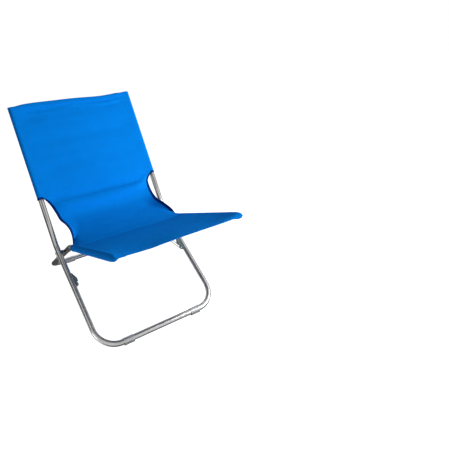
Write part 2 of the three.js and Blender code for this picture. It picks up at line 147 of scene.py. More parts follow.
floor_radius, floor_glow_strength = 14, 0.84
floor_shape = bmesh.new()
bmesh.ops.create_circle(floor_shape, cap_ends=True, segments=64, radius=floor_radius)
floor_mesh = bpy.data.meshes.new("floor")
floor_shape.to_mesh(floor_mesh)
floor_shape.free()
floor = bpy.data.objects.new("floor", floor_mesh)
bpy.context.scene.collection.objects.link(floor)
floor_paint = bpy.data.materials.new("floor_paint")
floor_paint.use_nodes = True
paint = floor_paint.node_tree.nodes["Principled BSDF"]
paint.inputs["Base Color"].default_value = (0.82, 0.82, 0.82, 1)
paint.inputs["Roughness"].default_value = 0.9
paint.inputs["Specular IOR Level"].default_value = 0.0
paint.inputs["Emission Color"].default_value = (1, 1, 1, 1)
floor_glow = floor_paint.node_tree.nodes.new("ShaderNodeMath")
floor_glow.operation = "MULTIPLY"
floor_glow.inputs[1].default_value = floor_glow_strength
link_nodes(floor_paint.node_tree, (seen_or_mirrored(floor_paint.node_tree), (floor_glow, 0)),
           ((floor_glow, 0), (paint, "Emission Strength")))
floor.data.materials.append(floor_paint)


# ---------------------------------------------------------------- main frame
# Back posts, front legs and the front ground bar are one steel tube, 22 mm across, bent cold at four
# places and plated bright. It stands on the front ground bar, and the chair's other frame hangs in it.

mm = 0.001
pivot_y, pivot_z = 80.122 * mm, 249.051 * mm
tube_radius = 11 * mm
tube_wall = 1.3 * mm
back_bend_radius, main_ground_bend = 45 * mm, 82 * mm
main_half_width = 250 * mm
front_leg_length, bend_above_pivot, back_post_length = 415 * mm, 32 * mm, 562 * mm
leg_degrees, back_bend_degrees = 55.3, 24.5
front_leg_lean, back_lean = math.radians(leg_degrees), math.radians(leg_degrees - back_bend_degrees)
front_leg = Vector((0, -math.sin(front_leg_lean), -math.cos(front_leg_lean)))
back_post = Vector((0, math.sin(back_lean), math.cos(back_lean)))
pivot = Vector((0, pivot_y, pivot_z))
front_ground = pivot + front_leg_length * front_leg
back_bend = pivot - bend_above_pivot * front_leg
post_top = back_bend + back_post_length * back_post


def across(x, point):
    """The point of the chair's side view at a distance from its middle."""
    return Vector((x, point.y, point.z))


def standing_at(place, way):
    """Where a shape drawn up the Z axis goes when it stands at a place and points a way."""
    return Matrix.Translation(place) @ way.to_track_quat("Z", "X").to_matrix().to_4x4()


def smooth_piece(name, shape, material, wall=0.0, flat_above=40):
    """Turns a bmesh into a piece with smooth shading, and gives it a wall inwards where it is a tube."""
    bmesh.ops.remove_doubles(shape, verts=shape.verts, dist=0.002 * mm)
    bmesh.ops.recalc_face_normals(shape, faces=shape.faces)
    mesh = bpy.data.meshes.new(name)
    shape.to_mesh(mesh)
    shape.free()
    mesh.materials.append(material)
    mesh.shade_smooth()
    mesh.set_sharp_from_angle(angle=math.radians(flat_above))
    piece = bpy.data.objects.new(name, mesh)
    bpy.context.scene.collection.objects.link(piece)
    if wall:
        thickness = piece.modifiers.new("wall", "SOLIDIFY")
        thickness.thickness = wall
        thickness.offset = -1
    return piece


def push_edges(shape, edges, way):
    """Extrudes a ring of edges along a way and returns the new ring."""
    grown = bmesh.ops.extrude_edge_only(shape, edges=edges)["geom"]
    verts = [g for g in grown if isinstance(g, bmesh.types.BMVert)]
    bmesh.ops.translate(shape, verts=verts, vec=way)
    return [g for g in grown if isinstance(g, bmesh.types.BMEdge) and all(v in verts for v in g.verts)]


def bend_tube(corners, radius, sides, step=math.radians(6)):
    """A round tube or wire through corners, each a point and its bend radius. A step is an angle of bend."""
    shape = bmesh.new()
    place, _ = corners[0]
    heading = (corners[1][0] - place).normalized()
    bmesh.ops.create_circle(shape, cap_ends=False, segments=sides, radius=radius,
                            matrix=standing_at(place, heading))
    ring = list(shape.edges)
    for (corner, bend), (after, _) in zip(corners[1:-1], corners[2:]):
        outward = (after - corner).normalized()
        turn = heading.angle(outward)
        bend_start = corner - heading * bend * math.tan(turn / 2)
        ring = push_edges(shape, ring, bend_start - place)
        axis = heading.cross(outward).normalized()
        centre = bend_start + axis.cross(heading) * bend
        spun = bmesh.ops.spin(shape, geom=ring, cent=centre, axis=axis, dvec=(0, 0, 0), angle=turn,
                              steps=max(3, round(turn / step)), use_duplicate=False)
        ring = [g for g in spun["geom_last"] if isinstance(g, bmesh.types.BMEdge)]
        place = corner + outward * bend * math.tan(turn / 2)
        heading = outward
    push_edges(shape, ring, corners[-1][0] - place)
    return shape


def plain_material(name, colour, roughness, metallic=0.0, **sockets):
    """A material with its even values on the shader. A socket's name is written with _ for a space."""
    material = bpy.data.materials.new(name)
    material.use_nodes = True
    shader = material.node_tree.nodes["Principled BSDF"]
    shader.inputs["Base Color"].default_value = (*colour, 1)
    shader.inputs["Roughness"].default_value = roughness
    shader.inputs["Metallic"].default_value = metallic
    for socket, value in sockets.items():
        shader.inputs[socket.replace("_", " ")].default_value = value
    return material, material.node_tree, shader


def patches(tree, size, detail=3.0):
    """Cloudy noise on the piece, with patches of a size in metres."""
    place = tree.nodes.new("ShaderNodeTexCoord")
    cloud = tree.nodes.new("ShaderNodeTexNoise")
    cloud.inputs["Scale"].default_value = 1 / size
    cloud.inputs["Detail"].default_value = detail
    link_nodes(tree, ((place, "Object"), (cloud, "Vector")))
    return cloud


def vary(tree, cloud, low, high, taker, socket):
    """Feeds a socket with noise, brought between two values or two colours."""
    spread = (0.3, 0.7)
    if isinstance(low, tuple):
        ramp = tree.nodes.new("ShaderNodeValToRGB")
        for element, place, colour in zip(ramp.color_ramp.elements, spread, (low, high)):
            element.position = place
            element.color = (*colour, 1)
        link_nodes(tree, ((cloud, "Fac"), (ramp, "Fac")), ((ramp, "Color"), (taker, socket)))
        return
    limits = tree.nodes.new("ShaderNodeMapRange")
    limits.inputs["From Min"].default_value, limits.inputs["From Max"].default_value = spread
    limits.inputs["To Min"].default_value, limits.inputs["To Max"].default_value = low, high
    link_nodes(tree, ((cloud, "Fac"), (limits, "Value")), ((limits, "Result"), (taker, socket)))


def grain(tree, height, depth, shader, strength=1.0):
    """Raises the surface by a texture, with a depth in metres."""
    bump = tree.nodes.new("ShaderNodeBump")
    bump.inputs["Strength"].default_value = strength
    bump.inputs["Distance"].default_value = depth
    link_nodes(tree, (height, (bump, "Height")), ((bump, "Normal"), (shader, "Normal")))


def plated_steel(name, dark, light, smooth, rough):
    """Drawn steel with bright plating: clouded a little, with fine scratches that catch the light."""
    grazing_tint = (0.35, 0.34, 0.33, 1)
    material, tree, shader = plain_material(name, light, rough, metallic=1.0, Specular_Tint=grazing_tint)
    clouds = patches(tree, 60 * mm)
    smears = patches(tree, 14 * mm, detail=6)
    scratches = patches(tree, 0.9 * mm, detail=2)
    vary(tree, clouds, dark, light, shader, "Base Color")
    vary(tree, smears, smooth, rough, shader, "Roughness")
    grain(tree, (scratches, "Fac"), 0.02 * mm, shader, strength=0.5)
    return material


bright_steel = plated_steel("bright_steel", dark=(0.40, 0.395, 0.385), light=(0.52, 0.52, 0.51),
                            smooth=0.14, rough=0.26)

main_frame = smooth_piece("main_frame_bent", bend_tube([
    (across(-main_half_width, post_top), 0),
    (across(-main_half_width, back_bend), back_bend_radius),
    (across(-main_half_width, front_ground), main_ground_bend),
    (across(main_half_width, front_ground), main_ground_bend),
    (across(main_half_width, back_bend), back_bend_radius),
    (across(main_half_width, post_top), 0),
], tube_radius, sides=32), bright_steel, wall=tube_wall)
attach(main_frame, "main_frame")
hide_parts("main_frame_tube")


# ---------------------------------------------------------------- seat frame
# Seat rails, rear legs and the rear ground bar are a second tube of the same size, narrower by a tube
# and a spacer each side, so that it turns inside the main frame.

seat_half_width = 220 * mm
rear_leg_length, bend_before_pivot, seat_rail_length = 408.4 * mm, 77.7 * mm, 431 * mm
bar_height, seat_bend_angle = 12.8 * mm, math.radians(14.7)
rear_leg_lean = math.acos((pivot_z - bar_height) / rear_leg_length)
rail_rise = math.pi / 2 - rear_leg_lean - seat_bend_angle
rear_leg = Vector((0, math.sin(rear_leg_lean), -math.cos(rear_leg_lean)))
seat_rail = Vector((0, -math.cos(rail_rise), math.sin(rail_rise)))
rear_ground = pivot + rear_leg_length * rear_leg
seat_bend = pivot - bend_before_pivot * rear_leg
rail_front = seat_bend + seat_rail_length * seat_rail
seat_bend_radius, seat_ground_bend = 150 * mm, 70 * mm

seat_frame = smooth_piece("seat_frame_bent", bend_tube([
    (across(-seat_half_width, rail_front), 0),
    (across(-seat_half_width, seat_bend), seat_bend_radius),
    (across(-seat_half_width, rear_ground), seat_ground_bend),
    (across(seat_half_width, rear_ground), seat_ground_bend),
    (across(seat_half_width, seat_bend), seat_bend_radius),
    (across(seat_half_width, rail_front), 0),
], tube_radius, sides=32), bright_steel, wall=tube_wall)
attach(seat_frame, "seat_frame")
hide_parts("seat_frame_tube")


# ---------------------------------------------------------------- feet
# Four moulded clips of grey plastic with a silvery finish snap round the ground bars, just inside the
# bends. Each is a ring that widens into a flat grooved sole, and it keeps the tube off the ground.

foot_length, foot_from_bend = 42 * mm, 2 * mm
foot_inner, foot_outer = 11.3 * mm, 12.8 * mm
sole_half_width, sole_below_bar, sole_spread = 11 * mm, 0.55 * foot_outer, 1.35
# Where the sole's grooves and ridges lie, as shares of the foot's length.
grooves, ridges = (0.12, 0.28, 0.44, 0.56, 0.72, 0.88), (0.2, 0.36, 0.64, 0.8)
groove_depth = 1.2 * mm

grey_plastic, plastic_tree, plastic_shader = plain_material(
    "grey_plastic", (0.42, 0.42, 0.42), 0.2, metallic=0.7, Specular_IOR_Level=0.8)
vary(plastic_tree, patches(plastic_tree, 25 * mm), (0.38, 0.38, 0.38), (0.45, 0.45, 0.45),
     plastic_shader, "Base Color")
vary(plastic_tree, patches(plastic_tree, 6 * mm), 0.16, 0.24, plastic_shader, "Roughness")
grain(plastic_tree, (patches(plastic_tree, 0.7 * mm, detail=4), "Fac"), 0.02 * mm, plastic_shader, 0.5)


def round_edges(piece, width, segments, above):
    """Rounds the edges that turn by more than an angle in degrees."""
    edge = piece.modifiers.new("edge", "BEVEL")
    edge.width = width
    edge.segments = segments
    edge.angle_limit = math.radians(above)


def moulded_feet(name, half_width, ground, bend, body):
    """The two feet of a bar. A ring with a sole is drawn and pulled out along the bar, then grooved."""
    centre = half_width - bend - foot_from_bend - foot_length / 2
    for word, sign in (("left", -1), ("right", 1)):
        shape = bmesh.new()
        outer = bmesh.ops.create_circle(shape, segments=36, radius=foot_outer)["verts"]
        bmesh.ops.create_circle(shape, segments=36, radius=foot_inner)
        for vert in outer:
            if vert.co.y < -sole_below_bar:
                vert.co.x = sole_half_width * max(-1, min(1, sole_spread * vert.co.x / sole_half_width))
                vert.co.y = -foot_outer
        bmesh.ops.bridge_loops(shape, edges=shape.edges[:])
        ends = bmesh.ops.extrude_face_region(shape, geom=shape.faces[:])["geom"]
        bmesh.ops.translate(shape, verts=[g for g in ends if isinstance(g, bmesh.types.BMVert)],
                            vec=(0, 0, foot_length))
        for share in sorted(grooves + ridges):
            bmesh.ops.bisect_plane(shape, geom=shape.verts[:] + shape.edges[:] + shape.faces[:],
                                   plane_co=(0, 0, share * foot_length), plane_no=(0, 0, 1))
        for vert in shape.verts:
            on_sole = vert.co.y < -foot_outer + 0.1 * mm
            if on_sole and round(vert.co.z / foot_length, 2) in grooves:
                vert.co.y += groove_depth
        place = (Matrix.Translation((sign * centre - foot_length / 2, ground.y, ground.z))
                 @ Matrix.Rotation(math.pi / 2, 4, "Y") @ Matrix.Rotation(math.pi / 2, 4, "Z"))
        bmesh.ops.transform(shape, matrix=place, verts=shape.verts)
        foot = smooth_piece(f"{name}_moulded_{word}", shape, grey_plastic)
        round_edges(foot, 0.7 * mm, segments=2, above=50)
        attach(foot, body)
        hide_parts(f"{name}_{word}")


moulded_feet("front_foot", main_half_width, front_ground, main_ground_bend, "main_frame")
moulded_feet("rear_foot", seat_half_width, rear_ground, seat_ground_bend, "seat_frame")


# ---------------------------------------------------------------- pivots
# One steel rivet goes through both tubes on each side. A moulded spacer keeps the tubes apart and a
# washer lies under the head inside the chair. The heads are domed by the riveting tool.

zinc_plate = plated_steel("zinc_plate", dark=(0.30, 0.30, 0.305), light=(0.42, 0.42, 0.425),
                          smooth=0.22, rough=0.38)
dark_plastic, dark_tree, dark_shader = plain_material(
    "dark_plastic", (0.075, 0.105, 0.11), 0.4, Specular_IOR_Level=0.5)
vary(dark_tree, patches(dark_tree, 12 * mm), (0.06, 0.085, 0.09), (0.09, 0.12, 0.125), dark_shader,
     "Base Color")
vary(dark_tree, patches(dark_tree, 5 * mm), 0.35, 0.55, dark_shader, "Roughness")
grain(dark_tree, (patches(dark_tree, 0.6 * mm, detail=4), "Fac"), 0.05 * mm, dark_shader, 0.6)

spacer_outer_x, spacer_inner_x = 238.7 * mm, 231.3 * mm
washer_outer_x, washer_inner_x = 208.7 * mm, 207.1 * mm
outer_head_x, inner_head_x = 261.3 * mm, 206.8 * mm
rivet_radius, head_radius, head_height = 3.2 * mm, 7.5 * mm, 3.6 * mm
hole_radius, disc_radius = 3.6 * mm, 8.5 * mm
spacer_face, spacer_rounding = 7.9 * mm, 0.6 * mm
washer_face, washer_rounding = 8.3 * mm, 0.3 * mm


def turned(outline, sides=32):
    """Turns an outline of (radius, height) points full circle about the Z axis."""
    shape = bmesh.new()
    rim = [shape.verts.new((radius, 0, height)) for radius, height in outline]
    edges = [shape.edges.new(pair) for pair in zip(rim, rim[1:])]
    bmesh.ops.spin(shape, geom=rim + edges, cent=(0, 0, 0), axis=(0, 0, 1), dvec=(0, 0, 0),
                   angle=2 * math.pi, steps=sides, use_merge=True, use_duplicate=False)
    return shape


def dome(radius, start, rise, steps=5):
    """Outline points of a domed head from its edge to its middle. A quarter of its rise is an upright rim."""
    crown = [(radius * math.cos(a), start + 0.25 * rise + 0.75 * rise * math.sin(a))
             for a in (math.pi / 2 * i / steps for i in range(steps))]
    return [(radius, start)] + crown + [(0, start + rise)]


def pointing_out(place, sign):
    """Where a shape drawn up the Z axis goes when it lies across the chair, with its top outwards."""
    return Matrix.Translation(place) @ Matrix.Rotation(sign * math.pi / 2, 4, "Y")


pivot_pieces = {
    "pivot_rivet": (zinc_plate, "hardware_zinc",
                    [(r, -z) for r, z in reversed(dome(head_radius, -inner_head_x, head_height))]
                    + [(rivet_radius, inner_head_x), (rivet_radius, outer_head_x)]
                    + dome(head_radius, outer_head_x, head_height)),
    "pivot_spacer": (dark_plastic, "dark_plastic",
                     [(hole_radius, spacer_inner_x), (spacer_face, spacer_inner_x),
                      (disc_radius, spacer_inner_x + spacer_rounding),
                      (disc_radius, spacer_outer_x - spacer_rounding),
                      (spacer_face, spacer_outer_x), (hole_radius, spacer_outer_x),
                      (hole_radius, spacer_inner_x)]),
    "pivot_washer": (zinc_plate, "hardware_zinc",
                     [(hole_radius, washer_inner_x), (washer_face, washer_inner_x),
                      (disc_radius, washer_inner_x + washer_rounding), (disc_radius, washer_outer_x),
                      (hole_radius, washer_outer_x), (hole_radius, washer_inner_x)]),
}
for name, (material, slot, outline) in pivot_pieces.items():
    for word, sign in (("left", -1), ("right", 1)):
        shape = turned(outline)
        bmesh.ops.transform(shape, verts=shape.verts, matrix=pointing_out(pivot, sign))
        piece = smooth_piece(f"{name}_turned_{word}", shape, material)
        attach(piece, "main_frame")
        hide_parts(f"{name}_{word}")


# ---------------------------------------------------------------- cross rod
# A 6 mm rod holds the seat rails apart. It is sprung into a hole in the inner side of each rail, turns
# down beside it and bows below the cloth, so that nobody sits on it.

rod_radius, rod_turn_bend, rod_bow_bend = 3 * mm, 14 * mm, 330 * mm
rod_along_rail, rod_drop = 241 * mm, 52 * mm
rod_end, rod_turn, rod_flat = 214.5 * mm, 197 * mm, 70 * mm
rod_seat = seat_bend + rod_along_rail * seat_rail
rod_low = rod_seat + rod_drop * Vector((0, -seat_rail.z, seat_rail.y))

cross_rod = smooth_piece("seat_cross_rod_bent", bend_tube([
    (across(-rod_end, rod_seat), 0), (across(-rod_turn, rod_seat), rod_turn_bend),
    (across(-rod_flat, rod_low), rod_bow_bend), (across(rod_flat, rod_low), rod_bow_bend),
    (across(rod_turn, rod_seat), rod_turn_bend), (across(rod_end, rod_seat), 0),
], rod_radius, sides=16, step=math.radians(4)), bright_steel)
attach(cross_rod, "seat_frame")
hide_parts("seat_cross_rod")


# ---------------------------------------------------------------- wire links
# A long loop of 4 mm spring wire lies in the gap between each rear leg and front leg, its ends butted in
# the middle of its upper run. It turns on a rivet through the rear leg, and it slides over a headed pin
# on the front leg.

link_arm = 147 * mm
link_hinge, catch_pin = pivot + link_arm * rear_leg, pivot + link_arm * front_leg
link_x, link_loop = 233.3 * mm, 6 * mm
wire_radius, wire_bend, half_butt_gap = 2 * mm, 5.9 * mm, 0.15 * mm
shank_radius, shank_inner_x, shank_outer_x = 3.7 * mm, 208.7 * mm, 235.6 * mm
shank_head_radius, shank_head_height = 6.5 * mm, 2.2 * mm
along_link = (catch_pin - link_hinge).normalized()
above_link = along_link.cross(Vector((1, 0, 0))) * link_loop
link_middle = (link_hinge + catch_pin) / 2


def on_wire(sign, pin, past, side):
    """A corner of the loop, past a pin by a distance, on its upper run for 1 or its lower run for -1."""
    return across(sign * link_x, pin + past * along_link + side * above_link)


for word, sign in (("left", -1), ("right", 1)):
    wire = smooth_piece(f"link_wire_bent_{word}", bend_tube([
        (on_wire(sign, link_middle, half_butt_gap, 1), 0),
        (on_wire(sign, catch_pin, link_loop, 1), wire_bend),
        (on_wire(sign, catch_pin, link_loop, -1), wire_bend),
        (on_wire(sign, link_hinge, -link_loop, -1), wire_bend),
        (on_wire(sign, link_hinge, -link_loop, 1), wire_bend),
        (on_wire(sign, link_middle, -half_butt_gap, 1), 0),
    ], wire_radius, sides=14, step=math.radians(9)), zinc_plate)
    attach(wire, f"link_{word}")
    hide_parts(f"link_wire_{word}")

    inner_head = [(r, -x) for r, x in reversed(dome(shank_head_radius, -shank_inner_x, shank_head_height))]
    shape = turned(inner_head + [(shank_radius, shank_inner_x), (shank_radius, shank_outer_x)]
                   + dome(shank_head_radius, shank_outer_x, shank_head_height))
    bmesh.ops.transform(shape, verts=shape.verts, matrix=pointing_out(link_hinge, sign))
    rivet = smooth_piece(f"link_rivet_turned_{word}", shape, zinc_plate)
    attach(rivet, "seat_frame")
    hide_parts(f"link_rivet_{word}")


# ---------------------------------------------------------------- catches
# A moulded wedge sits on the inner side of each front leg, hollowed to fit the tube. Its lower end is
# cut down to a thin base, which carries the headed pin that the wire loop slides on.

for word in ("left", "right"):
    packed_catch = bpy.data.objects[f"link_catch_{word}"]
    shape = bmesh.new()
    shape.from_mesh(packed_catch.data)
    bmesh.ops.remove_doubles(shape, verts=shape.verts, dist=0.01 * mm)
    bmesh.ops.dissolve_limit(shape, angle_limit=math.radians(4), verts=shape.verts, edges=shape.edges)
    catch = smooth_piece(f"link_catch_moulded_{word}", shape, dark_plastic)
    round_edges(catch, 1.2 * mm, segments=3, above=40)
    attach(catch, "main_frame")
    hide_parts(f"link_catch_{word}")


# ---------------------------------------------------------------- end plugs
# Plugs moulded of the feet's grey plastic close the open ends of both tubes. Those of the posts are
# low domes, and those of the seat rails are long blunt noses that spread the pocket of the cloth.

# Outlines in millimetres: the radius, and the height above the tube's end.
collar, collar_height = 11, 0.3
in_tube = [(0, -16), (8, -16), (9.3, -14), (9.3, collar_height), (collar, collar_height)]
cap_outline = in_tube + [(collar, 2.2), (10.6, 3.2), (9.5, 4), (7.5, 4.5), (5, 4.8), (0, 5)]
nose_tip, nose_length, nose_steps = 4.5, 38, 14
nose_rise = nose_length - collar_height
nose_outline = in_tube + [
    (nose_tip + (collar - nose_tip) * math.cos(a), collar_height + nose_rise * math.sin(a))
    for a in (math.pi / 2 * i / nose_steps for i in range(1, nose_steps + 1))] + [(0, nose_length)]
plugs = (("back_cap", main_half_width, post_top, back_post, "main_frame", cap_outline),
         ("rail_cap", seat_half_width, rail_front, seat_rail, "seat_frame", nose_outline))

for word, sign in (("left", -1), ("right", 1)):
    for name, half_width, end, way, body, outline in plugs:
        shape = turned([(r * mm, z * mm) for r, z in outline])
        bmesh.ops.transform(shape, verts=shape.verts, matrix=standing_at(across(sign * half_width, end), way))
        plug = smooth_piece(f"{name}_moulded_{word}", shape, grey_plastic)
        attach(plug, body)
        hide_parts(f"{name}_{word}")


# ---------------------------------------------------------------- sling
# Seat and back are one length of blue woven polyester. Its sides are folded round the posts and rails
# and sewn down as sleeves, closed at their far ends. Between them the cloth is cut in and hangs free.

cloth_thickness, layer_gap = 1.2 * mm, 1.4 * mm
sleeve_radius, seam_from_tube = 11.9 * mm, 24 * mm
hem_width, tape_width = 20 * mm, 9 * mm
back_sleeve_start, top_closes, back_top = 192 * mm, 565 * mm, 570.5 * mm
seat_sleeve_start, lap_end, seat_edge = 52 * mm, 124 * mm, 477.5 * mm
nose_start, nose_end = 431 * mm, 469 * mm
# The sleeves' radius: at the closed top, as a share in front of the noses, and in millimetres at the
# noses' tips and what it loses on the way there.
closed_top, closed_front = 0.7 * mm, 0.12
nose_sleeve, sleeve_taper = 5.4, 6.5
to_sitter = Vector((0, -back_post.z, back_post.y))
above_seat = Vector((0, seat_rail.z, -seat_rail.y))


def on_back(along, above=0.0):
    """A point along the posts' line from their bend, and above it towards the sitter."""
    return back_bend + along * back_post + above * to_sitter


def on_seat(along, above=0.0):
    """A point along the rails' line from their bend, and above it."""
    return seat_bend + along * seat_rail + above * above_seat


def ease(share):
    """Goes smoothly from 0 to 1."""
    share = max(0.0, min(1.0, share))
    return share * share * (3 - 2 * share)


def hump(place, centre, width):
    """A soft bump that is 1 at its centre and fades out over a width."""
    return math.exp(-((place - centre) / width) ** 2)


def smooth_line(points, steps=16):
    """A smooth curve through points, as a function of the share of its length."""
    ends = [2 * points[0] - points[1]] + points + [2 * points[-1] - points[-2]]
    line = [points[0]]
    for a, b, c, d in zip(ends, ends[1:], ends[2:], ends[3:]):
        for i in range(1, steps + 1):
            t = i / steps
            line.append(0.5 * (2 * b + (c - a) * t + (2 * a - 5 * b + 4 * c - d) * t ** 2
                               + (3 * b - a - 3 * c + d) * t ** 3))
    run = [0.0]
    for a, b in zip(line, line[1:]):
        run.append(run[-1] + (b - a).length)

    def at(share):
        place = max(0.0, min(1.0, share)) * run[-1]
        i = next((k for k in range(1, len(run)) if run[k] >= place), len(run) - 1)
        return line[i - 1].lerp(line[i], (place - run[i - 1]) / (run[i] - run[i - 1]))
    return at


def lap_points(*points):
    """Points in millimetres: from the middle of the chair, back from the pivots and up from the ground."""
    return [Vector((x * mm, pivot_y + y * mm, z * mm)) for x, y, z in points]


# How far the middle of the cloth lies above the line of posts or rails, with the seat's in millimetres.
back_level, lap_start_level, back_level_run = 7 * mm, 4 * mm, 370 * mm
seat_level, seat_dip, dip_start, dip_run = 8.5, 11, 224 * mm, 250 * mm
lap_middle = smooth_line([on_back(back_sleeve_start, lap_start_level)] + lap_points(
    (0, 116, 425.5), (0, 106, 416.5), (0, 96, 408.5), (0, 89, 397.5), (0, 80, 381), (0, 61, 363),
    (0, 38, 350.5), (0, 8, 343), (0, -23, 340), (0, -53, 339), (0, -73, 339)))
lap_edge = smooth_line([across(main_half_width, on_back(back_sleeve_start, sleeve_radius))] + lap_points(
    (239, 113.5, 434.5), (221.5, 112, 407.5), (213.3, 79, 381), (210.5, 46, 362.5), (204, 1, 358),
    (205.5, -52, 356), (211.5, -89, 346), (217, -106, 332))
    + [across(seat_half_width, on_seat(seat_sleeve_start, sleeve_radius))])
lap_front = smooth_line(lap_points(
    (0, -73, 339), (0, -93.5, 339.3), (0, -118.5, 340.3), (0, -138.5, 342), (0, -158.5, 344.5))
    + [on_seat(lap_end, seat_level * mm)])


def steps_between(start, end, count):
    """Even steps from a start, which is left out, to an end."""
    return [start + (end - start) * i / count for i in range(1, count + 1)]


rows = []
# How far in from its edge the cloth bends, in millimetres: on the back, and where the lap starts and ends.
back_reach, lap_reach, seat_reach, seat_reach_run = 130, 80, 40, 160 * mm


def add_row(middle, edge, sleeve=None, below=0.0, reach=back_reach * mm):
    """A row of the cloth from side to side.

    Below is how far a folded layer lies under the cloth. Reach is how far in from its edge it bends.
    """
    rows.append({"middle": middle, "edge": edge, "sleeve": sleeve, "below": below, "reach": reach})


def add_back_row(along, below=0.0):
    """A row of the back. Its sleeves close in a round over the tops of the posts."""
    closing = max(0.0, (along - top_closes) / (back_top - top_closes))
    thick = max(closed_top, sleeve_radius * math.sqrt(max(0.0, 1 - closing ** 2)))
    rise = (back_level - lap_start_level) * (along - back_sleeve_start) / back_level_run
    level = min(lap_start_level + rise, thick)
    sleeve = {"axis": on_back(along), "way": to_sitter, "across": sleeve_radius, "above": thick}
    add_row(on_back(along, level), across(main_half_width, on_back(along, thick)), sleeve, below)


def add_seat_row(along, below=0.0):
    """A row of the seat. Its sleeves narrow over the noses and close in front of them."""
    nose = min(1.0, max(0.0, (along - nose_start) / (nose_end - nose_start)))
    closing = max(0.0, (along - nose_end) / (seat_edge - nose_end))
    radius = (nose_sleeve + sleeve_taper * math.sqrt(1 - nose ** 2)) * mm * max(closed_front, 1 - closing)
    sleeve = {"axis": on_seat(along), "way": above_seat, "across": radius, "above": radius}
    if along < lap_end:
        middle = lap_front((along - seat_sleeve_start) / (lap_end - seat_sleeve_start))
    else:
        middle = on_seat(along, (seat_level - seat_dip * ease((along - dip_start) / dip_run)) * mm)
    widening = ease((along - seat_sleeve_start) / seat_reach_run)
    reach = (seat_reach + (back_reach - seat_reach) * widening) * mm
    add_row(middle, across(seat_half_width, on_seat(along, radius)), sleeve, below, reach)


# Rows lie close together where the cloth folds over, and under the tape at the sleeves' lower ends.
for along in [back_top - hem_width] + steps_between(back_top - hem_width, back_top - 0.6 * mm, 6):
    add_back_row(along, below=layer_gap)
top_row = len(rows)
for along in ([back_top, back_top - 0.5 * mm, 569 * mm, 567.5 * mm, top_closes]
              + steps_between(top_closes, 525 * mm, 14) + steps_between(525 * mm, 200 * mm, 46)
              + [197.5 * mm, 194.7 * mm, back_sleeve_start]):
    add_back_row(along)
back_end_row = len(rows) - 1
lap_rows = 46
for i in range(1, lap_rows):
    add_row(lap_middle(i / lap_rows), lap_edge(i / lap_rows),
            reach=(lap_reach - (lap_reach - seat_reach) * i / lap_rows) * mm)
seat_start_row = len(rows)
for along in ([seat_sleeve_start, 54.7 * mm, 57.5 * mm] + steps_between(57.5 * mm, lap_end, 10)
              + steps_between(lap_end, 425 * mm, 40) + steps_between(425 * mm, nose_end, 12)
              + [471 * mm, 473.5 * mm, 475.7 * mm, seat_edge]):
    add_seat_row(along)
front_row = len(rows) - 1
for along in steps_between(seat_edge, seat_edge - hem_width, 7):
    add_seat_row(along, below=layer_gap)

# A row's run is how far down the length of cloth it lies, and its place is how far from the top edge,
# which for the hems turned under is the place of the cloth that they lie on.
run = 0.0
for i, row in enumerate(rows):
    before = rows[max(0, i - 1)]["middle"]
    after = rows[min(len(rows) - 1, i + 1)]["middle"]
    way = (after - before).normalized()
    turned_under = i < top_row or i > front_row
    row["normal"] = Vector((0, way.z, -way.y)) * (-1 if turned_under else 1)
    if i == top_row:
        row["normal"] = to_sitter.copy()
    if i == front_row:
        row["normal"] = above_seat.copy()
    run += (row["middle"] - before).length
    row["run"] = run
top_run, front_run = rows[top_row]["run"], rows[front_row]["run"]
for i, row in enumerate(rows):
    mirrored = 2 * top_run - row["run"] if i < top_row else row["run"]
    row["place"] = (mirrored if i <= front_row else 2 * front_run - row["run"]) - top_run
cloth_length = front_run - top_run


def waves(x, down, wide, tall, seed):
    """Soft waves of a width and a height in metres, between about -1 and 1."""
    return noise.noise(Vector((x / wide, down / tall, seed)))


# Where the folds lie, down the cloth from its top edge.
gathers, back_waves_end, billow, seat_waves = 42 * mm, 340 * mm, 460 * mm, 560 * mm
crease_middle, ridge_below_crease = 404 * mm, 40 * mm


